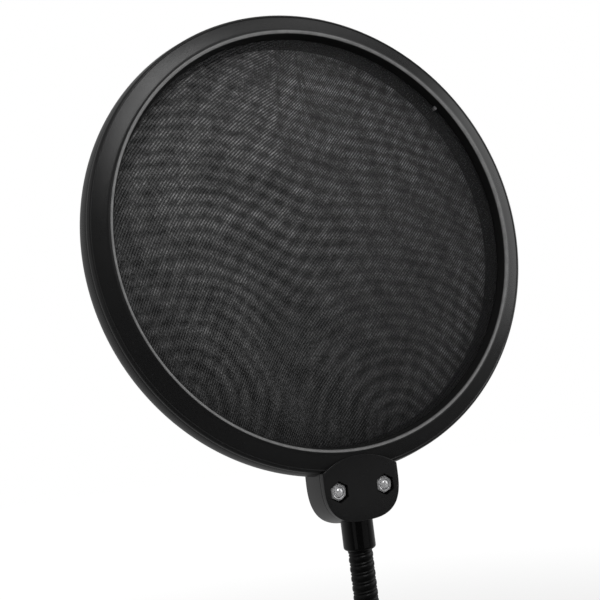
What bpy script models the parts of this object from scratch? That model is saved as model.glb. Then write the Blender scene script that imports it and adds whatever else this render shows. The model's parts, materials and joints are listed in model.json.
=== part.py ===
"""Pop filter: a round head with two nylon meshes, on a gooseneck arm with a screw clamp.

Metres, +Z up, the head faces -Y. The origin is the centre of the fixed jaw's pad face.
Head pieces are modelled in the head's own frame: X to the right, Y up from the centre of
the hoops, Z out of the front, with Z = 0 at the front lip. A depth is measured back from it.
"""

from math import atan2, cos, pi, radians, sin, sqrt

import bmesh
import bpy

MM = 0.001
GAP = 0.3 * MM  # clearance between pieces that touch

# Head: hoops
LIP_RADIUS = 70 * MM  # inner edge of the front bead
WALL_RADIUS = 69.5 * MM  # inner wall that frames the meshes
CREASE_RADIUS = 77.4 * MM  # where the front face turns into the side band
WIDEST_RADIUS = 78.6 * MM  # at the middle of the side band
HOOP_DEPTH = 15.3 * MM
SEAM_DEPTH = 3.0 * MM  # the front hoop ends here
MIDDLE_DEPTH = 7.8 * MM
BEAD_RADIUS = 0.65 * MM
CORNER_RADIUS = 1.45 * MM
FRONT_SEAT_DEPTH = 4.3 * MM  # the front hoop's inner wall ends here, on the front mesh
REAR_SEAT_DEPTH = 12.2 * MM  # the rear mesh rests here on the rear hoop
MESH_RADIUS = 72 * MM
MESH_THICKNESS = 0.2 * MM
MESH_GAP = 0.2 * MM
SPACER_OUTER_RADIUS = 72.5 * MM
HOOP_STEPS = 64
LUG_STEPS = 8  # points on each side of the lug's rounded bottom

# Head: lug
LUG_HALF_WIDTH = 13.15 * MM
LUG_SHOULDER = -79.0 * MM  # below this height the outline rounds in
LUG_BOTTOM = -92.3 * MM
LUG_SQUARENESS = 2.8  # exponent of the rounded bottom, where 2 is an ellipse
LUG_FLARE = 0.5 * MM  # each side stands out this much more at the back
LUG_DROOP = 2.1 * MM  # the bottom hangs this much lower at the back
LUG_CROWN_RADIUS = 22.5 * MM
LUG_CROWN_HEIGHT = -72.1 * MM
LUG_TOP_RADIUS = 76.6 * MM  # the rear lug grows out of the side band here
LUG_PLATE_DEPTH = 0.4 * MM
LUG_EDGE_ROUNDING = 1.0 * MM
LUG_BACK_DEPTH = 14.9 * MM
LUG_BACK_ROUNDING = 1.5 * MM

# Head: fasteners of the lug
NUT_X = 8.1 * MM
NUT_HEIGHT = -82.5 * MM
NUT_FLATS = 5.1 * MM
NUT_THICKNESS = 2.4 * MM
NUT_DEPTH = 1.0 * MM
POCKET_FLATS = 5.9 * MM
POCKET_FLOOR_DEPTH = NUT_DEPTH + NUT_THICKNESS + 0.2 * MM
NUT_BOSS_RADIUS = 4.1 * MM
NUT_BOSS_DEPTH = 5.0 * MM
SCREW_RADIUS = 1.6 * MM
SCREW_END_DEPTH = 0.4 * MM
SCREW_SEAT_DEPTH = 12.6 * MM  # the heads lie in recesses in the back of the lug
SCREW_RECESS_RADIUS = 3.2 * MM
SCREW_HEAD_RADIUS = 2.75 * MM
SCREW_HEAD_HEIGHT = 1.8 * MM

# Arm
ARM_DEPTH = 8.0 * MM  # the arm's axis, behind the front lip
ARM_RADIUS = 4.0 * MM
ARM_LENGTH = 330 * MM  # free length between the two ferrules
ARM_SECTIONS = 9
ARM_BOTTOM = 38 * MM  # top of the lower ferrule
ARM_INSERT = 10 * MM  # length held in each ferrule
ARM_STEPS = 16
ROUND_STEPS = 24  # sides of the other turned pieces
SECTION_LENGTH = ARM_LENGTH / ARM_SECTIONS

FERRULE_RADIUS = 5.2 * MM
UPPER_FERRULE_BOTTOM = -101.9 * MM  # in the head's frame
UPPER_FERRULE_TOP = -79.5 * MM
HEAD_HEIGHT = ARM_BOTTOM + ARM_LENGTH - UPPER_FERRULE_BOTTOM

# Clamp
PAD_THICKNESS = 2.5 * MM
PAD_HALF_LENGTH = 12 * MM
FRAME_WIDTH = 20 * MM
JAW_HEIGHT = 10 * MM
JAW_TIP = -14 * MM
SPINE_INNER = 26 * MM
SPINE_OUTER = 35 * MM
UPPER_JAW_BOTTOM = PAD_THICKNESS + GAP
LOWER_JAW_TOP = -62 * MM
FRAME_CORNER = 8 * MM
THROAT_CORNER = 4 * MM
WEB_RECESS = 2.5 * MM
WEB_BORDER = 3 * MM
STUD_RADIUS = 3 * MM
LOCK_NUT_FLATS = 13 * MM
LOCK_NUT_HEIGHT = 4 * MM
JAW_GAP = 28 * MM  # between the pads at rest
CLAMP_SCREW_RADIUS = 4 * MM
BUSH_RADIUS = 6 * MM
BUSH_FLANGE_RADIUS = 7.6 * MM
BUSH_FLANGE = 1.2 * MM
SWIVEL_RADIUS = 11 * MM
SWIVEL_PLATE = 3 * MM
SWIVEL_BOSS_RADIUS = 6.5 * MM
SWIVEL_BOSS = 5 * MM
SWIVEL_BORE_RADIUS = 4.3 * MM
TIP_RADIUS = 3.2 * MM
TIP_NECK_RADIUS = 2.2 * MM
KNOB_RADIUS = 16 * MM
KNOB_LOBE = 2.4 * MM  # depth of the notches between the lobes
KNOB_LOBES = 6
KNOB_HEIGHT = 16 * MM
KNOB_TOP = -101 * MM


def clear_scene():
    for old in list(bpy.data.objects):
        bpy.data.objects.remove(old)


def new_collection(name):
    group = bpy.data.collections.new(name)
    bpy.context.scene.collection.children.link(group)
    return group


clear_scene()
PARTS = new_collection("pop_filter")
CUTTERS = new_collection("cutters")


def new_material(name, colour, roughness, metallic=0.0):
    material = bpy.data.materials.new(name)
    material.use_nodes = True
    shader = material.node_tree.nodes["Principled BSDF"]
    shader.inputs["Base Color"].default_value = (*colour, 1)
    shader.inputs["Roughness"].default_value = roughness
    shader.inputs["Metallic"].default_value = metallic
    return material


BLACK_PLASTIC = new_material("black_plastic", (0.012, 0.012, 0.013), 0.42)
NYLON = new_material("black_nylon", (0.02, 0.02, 0.022), 0.8)
ZINC = new_material("zinc_steel", (0.62, 0.62, 0.64), 0.28, 1.0)
BLACK_METAL = new_material("black_metal", (0.014, 0.014, 0.015), 0.4, 0.6)
BRASS = new_material("brass", (0.72, 0.52, 0.24), 0.35, 1.0)
RUBBER = new_material("black_rubber", (0.018, 0.018, 0.018), 0.85)


# Shapes


def arc(centre, radius, start, end, count):
    """Points on a circle, from one angle in degrees to another."""
    angles = [radians(start + (end - start) * i / (count - 1)) for i in range(count)]
    return [(centre[0] + radius * cos(a), centre[1] + radius * sin(a)) for a in angles]


def add_object(name, mesh, material, collection=PARTS):
    made = bpy.data.objects.new(name, mesh)
    collection.objects.link(made)
    if material:
        mesh.materials.clear()
        mesh.materials.append(material)
    return made


def make_helper(made):
    """Keeps a shape that only cuts or joins another one out of the model."""
    made.hide_render = True
    made.display_type = "WIRE"
    return made


def smooth(mesh, angle=35):
    mesh.shade_smooth()
    mesh.set_sharp_from_angle(angle=radians(angle))


def turned(name, profile, material, steps, closed=False, collection=PARTS):
    """A profile of (radius, height) turned about Z. It runs down its outer side."""
    mesh = bpy.data.meshes.new(name)
    count = len(profile)
    edges = [(i, i + 1) for i in range(count - 1)]
    if closed:
        edges.append((count - 1, 0))
    mesh.from_pydata([(r, 0, z) for r, z in profile], edges, [])
    made = add_object(name, mesh, material, collection)
    screw = made.modifiers.new("turn", "SCREW")
    screw.steps = steps
    screw.render_steps = steps
    screw.use_merge_vertices = True
    screw.merge_threshold = 0.00001
    screw.use_smooth_shade = True
    return made


def slab(name, outline, top, bottom, material, collection=PARTS):
    """A flat outline in XY, extruded between two heights."""
    curve = bpy.data.curves.new(name, "CURVE")
    curve.dimensions = "2D"
    curve.fill_mode = "BOTH"
    curve.extrude = (top - bottom) / 2
    spline = curve.splines.new("POLY")
    spline.points.add(len(outline) - 1)
    for point, (x, y) in zip(spline.points, outline):
        point.co = (x, y, 0, 1)
    spline.use_cyclic_u = True
    guide = bpy.data.objects.new(name, curve)
    collection.objects.link(guide)
    mesh = bpy.data.meshes.new_from_object(guide.evaluated_get(bpy.context.evaluated_depsgraph_get()))
    bpy.data.objects.remove(guide)
    shape = bmesh.new()
    shape.from_mesh(mesh)
    bmesh.ops.remove_doubles(shape, verts=shape.verts, dist=0.000001)
    bmesh.ops.translate(shape, verts=shape.verts, vec=(0, 0, (top + bottom) / 2))
    bmesh.ops.dissolve_limit(shape, angle_limit=radians(0.05), verts=shape.verts, edges=shape.edges)
    bmesh.ops.recalc_face_normals(shape, faces=shape.faces)
    shape.to_mesh(mesh)
    shape.free()
    return add_object(name, mesh, material, collection)


def rod(name, radius, top, bottom, sides, material, collection=PARTS, centre=(0, 0)):
    """A cylinder, or a prism with few sides, along Z."""
    mesh = bpy.data.meshes.new(name)
    shape = bmesh.new()
    bmesh.ops.create_cone(
        shape, cap_ends=True, segments=sides, radius1=radius, radius2=radius, depth=top - bottom
    )
    bmesh.ops.translate(shape, verts=shape.verts, vec=(*centre, (top + bottom) / 2))
    shape.to_mesh(mesh)
    shape.free()
    return add_object(name, mesh, material, collection)


def block(name, low, high, material, collection=PARTS):
    mesh = bpy.data.meshes.new(name)
    shape = bmesh.new()
    bmesh.ops.create_cube(shape, size=1)
    bmesh.ops.scale(shape, verts=shape.verts, vec=[b - a for a, b in zip(low, high)])
    bmesh.ops.translate(shape, verts=shape.verts, vec=[(a + b) / 2 for a, b in zip(low, high)])
    shape.to_mesh(mesh)
    shape.free()
    return add_object(name, mesh, material, collection)


def bevel(made, width, segments=2, angle=40):
    modifier = made.modifiers.new("bevel", "BEVEL")
    modifier.width = width
    modifier.segments = segments
    modifier.limit_method = "ANGLE"
    modifier.angle_limit = radians(angle)
    return made


def round_edge_at(made, height, width, segments):
    """Rounds only the edges that lie at one height of the mesh."""
    mesh = made.data
    weights = mesh.attributes.new("bevel_weight_edge", "FLOAT", "EDGE")
    for edge in mesh.edges:
        ends = [mesh.vertices[v].co.z for v in edge.vertices]
        weights.data[edge.index].value = float(all(abs(z - height) < 0.00001 for z in ends))
    modifier = made.modifiers.new("bevel", "BEVEL")
    modifier.width = width
    modifier.segments = segments
    modifier.limit_method = "WEIGHT"
    return made


def combine(target, tool, operation):
    make_helper(tool)
    modifier = target.modifiers.new(tool.name, "BOOLEAN")
    modifier.operation = operation
    modifier.solver = "EXACT"
    modifier.object = tool


def place(made, location, rotation=(0, 0, 0)):
    made.location = location
    made.rotation_euler = rotation
    return made


def on_head(made):
    """Puts a shape from the head's own frame in its place: its Z becomes the front, -Y."""
    return place(made, (0, -ARM_DEPTH, HEAD_HEIGHT), (pi / 2, 0, 0))


def upright_on_head(made):
    """Puts a shape turned about the arm's axis in the head: its Z stays up."""
    return place(made, (0, 0, HEAD_HEIGHT))


# Head


def front_hoop_profile():
    bead_centre = (LIP_RADIUS + BEAD_RADIUS, -BEAD_RADIUS)
    corner_centre = (CREASE_RADIUS - CORNER_RADIUS, -SEAM_DEPTH)
    bead = arc(bead_centre, BEAD_RADIUS, 180, 30, 4)
    face = [(71.6 * MM, -0.55 * MM), (73.9 * MM, -1.08 * MM)]
    corner = arc(corner_centre, CORNER_RADIUS, 78, 0, 4)
    spigot = [
        (75.7 * MM, -SEAM_DEPTH),
        (75.7 * MM, -5.0 * MM),
        (74.6 * MM, -5.0 * MM),
        (74.4 * MM, -2.7 * MM),
        (72.0 * MM, -2.0 * MM),
        (71.1 * MM, -2.2 * MM),
        (71.1 * MM, -FRONT_SEAT_DEPTH),
        (WALL_RADIUS, -FRONT_SEAT_DEPTH),
        (WALL_RADIUS + 0.15 * MM, -1.3 * MM),
    ]
    return bead + face + corner + spigot


def rear_hoop_profile():
    bead_centre = (LIP_RADIUS + BEAD_RADIUS, BEAD_RADIUS - HOOP_DEPTH)
    corner_centre = (77.3 * MM - 1.8 * MM, -12.1 * MM)
    side = [
        (CREASE_RADIUS, -SEAM_DEPTH - GAP),
        (78.2 * MM, -5.6 * MM),
        (WIDEST_RADIUS, -MIDDLE_DEPTH),
        (78.2 * MM, -10.2 * MM),
    ]
    corner = arc(corner_centre, 1.8 * MM, 8, -75, 4)
    back = [(73.6 * MM, -14.35 * MM), (71.6 * MM, -14.75 * MM)]
    bead = arc(bead_centre, BEAD_RADIUS, -30, -180, 4)
    inside = [
        (WALL_RADIUS + 0.1 * MM, -14.0 * MM),
        (WALL_RADIUS, -REAR_SEAT_DEPTH),
        (71.0 * MM, -REAR_SEAT_DEPTH),
        (71.3 * MM, -13.2 * MM),
        (75.3 * MM, -12.4 * MM),
        (77.0 * MM, -MIDDLE_DEPTH),
        (76.1 * MM, -SEAM_DEPTH - GAP),
    ]
    return side + corner + back + bead + inside


def lug_outline(crown):
    """The lug's shape from the front. The crown is the list of points of its top, left to right."""
    drop = LUG_SHOULDER - LUG_BOTTOM
    right = []
    for i in range(LUG_STEPS + 1):
        angle = pi / 2 * i / LUG_STEPS
        x = LUG_HALF_WIDTH * cos(angle) ** (2 / LUG_SQUARENESS)
        right.append((x, LUG_SHOULDER - drop * sin(angle) ** (2 / LUG_SQUARENESS)))
    left = [(-x, y) for x, y in reversed(right[:-1])]
    return crown + right + left


def crown_arc(centre_height, radius):
    half_angle = atan2(LUG_HALF_WIDTH, sqrt(radius**2 - LUG_HALF_WIDTH**2)) * 180 / pi
    return arc((0, centre_height), radius, 90 + half_angle, 90 - half_angle, 8)


def front_lug_plate():
    crown = crown_arc(LUG_CROWN_HEIGHT - LUG_CROWN_RADIUS, LUG_CROWN_RADIUS)
    outline = lug_outline(crown)
    plate = slab("front_lug_plate", outline, -LUG_PLATE_DEPTH, -SEAM_DEPTH, None, CUTTERS)
    return on_head(round_edge_at(plate, -LUG_PLATE_DEPTH, LUG_EDGE_ROUNDING, 3))


def flare(made, depth):
    """Spreads the lug's outline at that depth, outwards and below its shoulder downwards."""
    for vertex in made.data.vertices:
        if abs(vertex.co.z + depth) > 0.00001:
            continue
        below = max(0, LUG_SHOULDER - vertex.co.y)
        vertex.co.x *= 1 + LUG_FLARE / LUG_HALF_WIDTH
        vertex.co.y -= LUG_DROOP * below / (LUG_SHOULDER - LUG_BOTTOM)
    return made


def rear_lug_block():
    corner_height = -sqrt(LUG_TOP_RADIUS**2 - LUG_HALF_WIDTH**2)
    half_angle = atan2(LUG_HALF_WIDTH, -corner_height) * 180 / pi
    crown = arc((0, 0), LUG_TOP_RADIUS, 270 - half_angle, 270 + half_angle, 8)
    outline = lug_outline(crown)
    made = slab("rear_lug_block", outline, -SEAM_DEPTH - GAP, -LUG_BACK_DEPTH, None, CUTTERS)
    flare(made, LUG_BACK_DEPTH)
    return on_head(round_edge_at(made, -LUG_BACK_DEPTH, LUG_BACK_ROUNDING, 2))


def seam_cutter():
    """Clears the rear hoop of everything in front of the seam at the lug."""
    low = (-20 * MM, -100 * MM, -SEAM_DEPTH - GAP)
    high = (20 * MM, -70 * MM, 2 * MM)
    return on_head(block("seam_cutter", low, high, None, CUTTERS))


def socket_cutter():
    top, bottom = UPPER_FERRULE_TOP + GAP, -96 * MM
    radius = FERRULE_RADIUS + GAP
    return upright_on_head(rod("socket_cutter", radius, top, bottom, 32, None, CUTTERS))


def lug_rods(label, radius, top, bottom, sides):
    """A pair of rods along the two lug screws, one on each side."""
    made = []
    for side in (-1, 1):
        name = f"{label}_{'left' if side < 0 else 'right'}"
        one = rod(name, radius, top, bottom, sides, None, CUTTERS, (side * NUT_X, NUT_HEIGHT))
        made.append(on_head(one))
    return made


def front_hoop():
    made = on_head(turned("front_hoop", front_hoop_profile(), BLACK_PLASTIC, HOOP_STEPS, True))
    combine(made, front_lug_plate(), "UNION")
    for boss in lug_rods("nut_boss", NUT_BOSS_RADIUS, -2.2 * MM, -NUT_BOSS_DEPTH, 24):
        combine(made, boss, "UNION")
    pocket_radius = POCKET_FLATS / 2 / cos(pi / 6)
    for pocket in lug_rods("nut_pocket", pocket_radius, 1 * MM, -POCKET_FLOOR_DEPTH, 6):
        combine(made, pocket, "DIFFERENCE")
    for hole in lug_rods("front_hole", SCREW_RADIUS + GAP, 0, -7 * MM, 16):
        combine(made, hole, "DIFFERENCE")
    combine(made, socket_cutter(), "DIFFERENCE")
    return made


def rear_hoop():
    made = on_head(turned("rear_hoop", rear_hoop_profile(), BLACK_PLASTIC, HOOP_STEPS, True))
    combine(made, rear_lug_block(), "UNION")
    combine(made, seam_cutter(), "DIFFERENCE")
    boss_room = NUT_BOSS_RADIUS + GAP
    for room in lug_rods("boss_room", boss_room, 0, -NUT_BOSS_DEPTH - GAP, 24):
        combine(made, room, "DIFFERENCE")
    for hole in lug_rods("rear_hole", SCREW_RADIUS + GAP, 0, -16 * MM, 16):
        combine(made, hole, "DIFFERENCE")
    for recess in lug_rods("head_recess", SCREW_RECESS_RADIUS, -SCREW_SEAT_DEPTH, -16 * MM, 24):
        combine(made, recess, "DIFFERENCE")
    combine(made, socket_cutter(), "DIFFERENCE")
    return made


def mesh_disc(name, depth):
    half = MESH_THICKNESS / 2
    profile = [(0, half - depth), (MESH_RADIUS, half - depth), (MESH_RADIUS, -half - depth), (0, -half - depth)]
    return on_head(turned(name, profile, NYLON, HOOP_STEPS))


def front_mesh():
    return mesh_disc("front_mesh", FRONT_SEAT_DEPTH + MESH_GAP + MESH_THICKNESS / 2)


def rear_mesh():
    return mesh_disc("rear_mesh", REAR_SEAT_DEPTH - MESH_GAP - MESH_THICKNESS / 2)


def mesh_spacer():
    clear = 2 * MESH_GAP + MESH_THICKNESS
    top, bottom = -FRONT_SEAT_DEPTH - clear, -REAR_SEAT_DEPTH + clear
    profile = [
        (WALL_RADIUS, top),
        (SPACER_OUTER_RADIUS, top),
        (SPACER_OUTER_RADIUS, bottom),
        (WALL_RADIUS, bottom),
    ]
    return on_head(turned("mesh_spacer", profile, BLACK_PLASTIC, HOOP_STEPS, True))


def lug_screw(side):
    """Pan-head screw that goes in from the back. Its domed end shows inside the nut."""
    name = "lug_screw_left" if side < 0 else "lug_screw_right"
    seat = -SCREW_SEAT_DEPTH - GAP
    dome = arc((0, -SCREW_END_DEPTH - 1.7 * MM), 1.7 * MM, 90, 34, 5)
    head_radius, head = SCREW_HEAD_RADIUS, SCREW_HEAD_HEIGHT
    profile = [(0, dome[0][1])] + dome[1:]
    profile += [
        (SCREW_RADIUS, -SCREW_END_DEPTH - 1.0 * MM),
        (SCREW_RADIUS, seat),
        (head_radius, seat),
        (head_radius, seat - 0.7 * head),
        (head_radius - 0.5 * MM, seat - 0.95 * head),
        (head_radius - 1.1 * MM, seat - head),
        (0, seat - head),
    ]
    made = turned(name, profile, ZINC, 20)
    for turn in (0, 1):
        reach = (1.5 * MM, 0.35 * MM) if turn else (0.35 * MM, 1.5 * MM)
        low = (-reach[0], -reach[1], seat - head - 1 * MM)
        high = (reach[0], reach[1], seat - head + 0.9 * MM)
        slot = block(f"{name}_slot_{turn}", low, high, None, CUTTERS)
        combine(made, slot, "DIFFERENCE")
        place(slot, (side * NUT_X, -ARM_DEPTH, HEAD_HEIGHT + NUT_HEIGHT), (pi / 2, 0, 0))
    return place(made, (side * NUT_X, -ARM_DEPTH, HEAD_HEIGHT + NUT_HEIGHT), (pi / 2, 0, 0))


def chamfer_limits(name, flats, top, bottom, drop):
    """A barrel that trims a hex nut's corners at both ends."""
    corner = flats / 2 / cos(pi / 6)
    profile = [
        (0, top),
        (flats / 2 * 0.97, top),
        (corner + 0.05 * MM, top - drop),
        (corner + 0.05 * MM, bottom + drop),
        (flats / 2 * 0.97, bottom),
        (0, bottom),
    ]
    return turned(name, profile, None, 24, collection=CUTTERS)


def hex_nut(name, flats, top, bottom, bore, material):
    made = rod(name, flats / 2 / cos(pi / 6), top, bottom, 6, material)
    limits = chamfer_limits(f"{name}_limits", flats, top, bottom, 0.08 * flats)
    combine(made, limits, "INTERSECT")
    hole = rod(f"{name}_bore", bore, top + 1 * MM, bottom - 1 * MM, 20, None, CUTTERS)
    combine(made, hole, "DIFFERENCE")
    return made, limits, hole


def lug_nut(side):
    name = "lug_nut_left" if side < 0 else "lug_nut_right"
    pieces = hex_nut(name, NUT_FLATS, -NUT_DEPTH, -NUT_DEPTH - NUT_THICKNESS, SCREW_RADIUS + GAP, ZINC)
    for piece in pieces:
        place(piece, (side * NUT_X, -ARM_DEPTH, HEAD_HEIGHT + NUT_HEIGHT), (pi / 2, 0, 0))


def upper_ferrule():
    """Closed at its top, where the lug grips it. The arm goes in from below."""
    outer, bore = FERRULE_RADIUS, ARM_RADIUS + GAP
    top, bottom = UPPER_FERRULE_TOP, UPPER_FERRULE_BOTTOM
    inner_end = bottom + ARM_INSERT + GAP
    profile = [
        (0, top),
        (outer - 0.5 * MM, top),
        (outer, top - 0.5 * MM),
        (outer, bottom + 1.0 * MM),
        (outer - 0.3 * MM, bottom + 0.3 * MM),
        (outer - 0.7 * MM, bottom),
        (bore, bottom),
        (bore, inner_end),
        (0, inner_end),
    ]
    return upright_on_head(turned("upper_ferrule", profile, BLACK_METAL, ROUND_STEPS))


# Arm


def gooseneck_section(number):
    """One section of the arm. It turns on the joint at its lower end, where it is round.

    Its upper end is a hollow seat for the next section's round end.
    """
    first, last = number == 1, number == ARM_SECTIONS
    low = ARM_BOTTOM + (number - 1) * SECTION_LENGTH
    radius, seat_radius = ARM_RADIUS, ARM_RADIUS + GAP
    if last:
        top = [(0, SECTION_LENGTH + ARM_INSERT), (radius, SECTION_LENGTH + ARM_INSERT)]
    else:
        rim_angle = -atan2(sqrt(seat_radius**2 - radius**2), radius) * 180 / pi
        top = arc((0, SECTION_LENGTH), seat_radius, -90, rim_angle, 4)
        top[0] = (0, SECTION_LENGTH - seat_radius)
    if first:
        bottom = [(radius, -ARM_INSERT), (0, -ARM_INSERT)]
    else:
        bottom = arc((0, 0), radius, 0, -90, 4)
        bottom[-1] = (0, -radius)
    made = turned(f"gooseneck_{number}", top + bottom, BLACK_METAL, ARM_STEPS)
    return place(made, (0, 0, low))


def lower_ferrule():
    """Sleeve for the arm's lower end, with a stud below that screws into the clamp."""
    outer, bore = FERRULE_RADIUS, ARM_RADIUS + GAP
    shoulder = UPPER_JAW_BOTTOM + JAW_HEIGHT + LOCK_NUT_HEIGHT + 2 * GAP
    inner_end = ARM_BOTTOM - ARM_INSERT - GAP
    profile = [
        (0, inner_end),
        (bore, inner_end),
        (bore, ARM_BOTTOM),
        (outer - 0.7 * MM, ARM_BOTTOM),
        (outer - 0.3 * MM, ARM_BOTTOM - 0.3 * MM),
        (outer, ARM_BOTTOM - 1.0 * MM),
        (outer, shoulder + 0.5 * MM),
        (outer - 0.5 * MM, shoulder),
        (STUD_RADIUS, shoulder),
        (STUD_RADIUS, UPPER_JAW_BOTTOM + 3.5 * MM),
        (STUD_RADIUS - 0.6 * MM, UPPER_JAW_BOTTOM + 2.8 * MM),
        (0, UPPER_JAW_BOTTOM + 2.8 * MM),
    ]
    return turned("lower_ferrule", profile, BLACK_METAL, ROUND_STEPS)


# Clamp


def rounded_corner(corner, radius, start, end):
    return arc(corner, radius, start, end, 7)


def frame_outline():
    """The C of the clamp from the side, in (Y, Z)."""
    top = UPPER_JAW_BOTTOM + JAW_HEIGHT
    bottom = LOWER_JAW_TOP - JAW_HEIGHT
    outer, inner = FRAME_CORNER, THROAT_CORNER
    points = rounded_corner((JAW_TIP + 3 * MM, top - 3 * MM), 3 * MM, 180, 90)
    points += rounded_corner((SPINE_OUTER - outer, top - outer), outer, 90, 0)
    points += rounded_corner((SPINE_OUTER - outer, bottom + outer), outer, 0, -90)
    points += rounded_corner((JAW_TIP + 3 * MM, bottom + 3 * MM), 3 * MM, -90, -180)
    points += [(JAW_TIP, LOWER_JAW_TOP)]
    points += rounded_corner((SPINE_INNER - inner, LOWER_JAW_TOP + inner), inner, -90, 0)
    points += rounded_corner((SPINE_INNER - inner, UPPER_JAW_BOTTOM - inner), inner, 0, 90)
    points += [(JAW_TIP, UPPER_JAW_BOTTOM)]
    return points


def web_outline():
    """The recess on each side of the spine, in (Y, Z)."""
    inner, outer = SPINE_INNER + WEB_BORDER - 1 * MM, SPINE_OUTER - WEB_BORDER + 1 * MM
    middle, half = (inner + outer) / 2, (outer - inner) / 2
    top, bottom = UPPER_JAW_BOTTOM - 4 * MM, LOWER_JAW_TOP + 4 * MM
    return arc((middle, top), half, 0, 180, 9) + arc((middle, bottom), half, 180, 360, 9)


def side_on(made):
    """Turns a slab drawn in XY so that its X is the model's Y and its Y the model's Z."""
    return place(made, (0, 0, 0), (pi / 2, 0, pi / 2))


def clamp_frame():
    half = FRAME_WIDTH / 2
    made = side_on(bevel(slab("clamp_frame", frame_outline(), half, -half, BLACK_METAL), 1.2 * MM))
    for side in (-1, 1):
        low, high = sorted((side * (half - WEB_RECESS), side * (half + 2 * MM)))
        web = slab(f"web_cutter_{'left' if side < 0 else 'right'}", web_outline(), high, low, None, CUTTERS)
        combine(made, side_on(web), "DIFFERENCE")
    stud_hole_bottom = UPPER_JAW_BOTTOM + 2.4 * MM
    stud_hole = rod("stud_hole", STUD_RADIUS + GAP, 20 * MM, stud_hole_bottom, 24, None, CUTTERS)
    combine(made, stud_hole, "DIFFERENCE")
    bush_hole = rod("bush_hole", BUSH_RADIUS + GAP, LOWER_JAW_TOP + 2 * MM, -80 * MM, 32, None, CUTTERS)
    combine(made, bush_hole, "DIFFERENCE")
    return made


def ferrule_lock_nut():
    low = UPPER_JAW_BOTTOM + JAW_HEIGHT + GAP
    hex_nut("ferrule_lock_nut", LOCK_NUT_FLATS, low + LOCK_NUT_HEIGHT, low, STUD_RADIUS + GAP, ZINC)


def thread_bush():
    """Flanged bush in the lower jaw that the clamp screw runs in."""
    bore, top = CLAMP_SCREW_RADIUS + GAP, LOWER_JAW_TOP + GAP + BUSH_FLANGE
    bottom = LOWER_JAW_TOP - JAW_HEIGHT
    profile = [
        (bore, top),
        (BUSH_FLANGE_RADIUS - 0.3 * MM, top),
        (BUSH_FLANGE_RADIUS, top - 0.3 * MM),
        (BUSH_FLANGE_RADIUS, LOWER_JAW_TOP + GAP),
        (BUSH_RADIUS, LOWER_JAW_TOP + GAP),
        (BUSH_RADIUS, bottom),
        (bore, bottom),
    ]
    return turned("thread_bush", profile, BRASS, ROUND_STEPS, True)


def jaw_pad_fixed():
    width = FRAME_WIDTH / 2 - 1 * MM
    low = (-width, -PAD_HALF_LENGTH, 0)
    high = (width, PAD_HALF_LENGTH, PAD_THICKNESS)
    return bevel(block("jaw_pad_fixed", low, high, RUBBER), 0.5 * MM)


def jaw_pad_moving():
    top, radius = -JAW_GAP, SWIVEL_RADIUS
    profile = [
        (0, top),
        (radius - 0.6 * MM, top),
        (radius, top - 0.6 * MM),
        (radius, top - PAD_THICKNESS),
        (0, top - PAD_THICKNESS),
    ]
    return turned("jaw_pad_moving", profile, RUBBER, ROUND_STEPS)


def swivel_plate():
    """Steel cup under the moving pad. The clamp screw's tip turns in its bore."""
    top = -JAW_GAP - PAD_THICKNESS - GAP
    flange = top - SWIVEL_PLATE
    bottom = flange - SWIVEL_BOSS
    profile = [
        (0, top),
        (SWIVEL_RADIUS, top),
        (SWIVEL_RADIUS, flange + 0.5 * MM),
        (SWIVEL_RADIUS - 0.5 * MM, flange),
        (SWIVEL_BOSS_RADIUS + 0.5 * MM, flange),
        (SWIVEL_BOSS_RADIUS, flange - 0.5 * MM),
        (SWIVEL_BOSS_RADIUS, bottom + 0.4 * MM),
        (SWIVEL_BOSS_RADIUS - 0.4 * MM, bottom),
        (SWIVEL_BORE_RADIUS, bottom),
        (SWIVEL_BORE_RADIUS, flange),
        (0, flange),
    ]
    return turned("swivel_plate", profile, ZINC, ROUND_STEPS)


def screw_tip_top():
    return -JAW_GAP - PAD_THICKNESS - SWIVEL_PLATE - 2 * GAP


def swivel_clip():
    """Washer under the tip's head that keeps it in the cup."""
    top = screw_tip_top() - 1.5 * MM - GAP
    profile = [
        (TIP_NECK_RADIUS + GAP, top),
        (SWIVEL_BORE_RADIUS - GAP, top),
        (SWIVEL_BORE_RADIUS - GAP, top - 0.8 * MM),
        (TIP_NECK_RADIUS + GAP, top - 0.8 * MM),
    ]
    return turned("swivel_clip", profile, ZINC, 24, True)


def clamp_screw():
    tip = screw_tip_top()
    body_top = tip - SWIVEL_BOSS - GAP
    bottom = KNOB_TOP - KNOB_HEIGHT + 5 * MM
    profile = [
        (0, tip),
        (TIP_RADIUS - 0.4 * MM, tip),
        (TIP_RADIUS, tip - 0.4 * MM),
        (TIP_RADIUS, tip - 1.5 * MM),
        (TIP_NECK_RADIUS, tip - 1.5 * MM),
        (TIP_NECK_RADIUS, body_top),
        (CLAMP_SCREW_RADIUS - 0.6 * MM, body_top),
        (CLAMP_SCREW_RADIUS, body_top - 0.6 * MM),
        (CLAMP_SCREW_RADIUS, bottom),
        (0, bottom),
    ]
    return turned("clamp_screw", profile, ZINC, 20)


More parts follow.
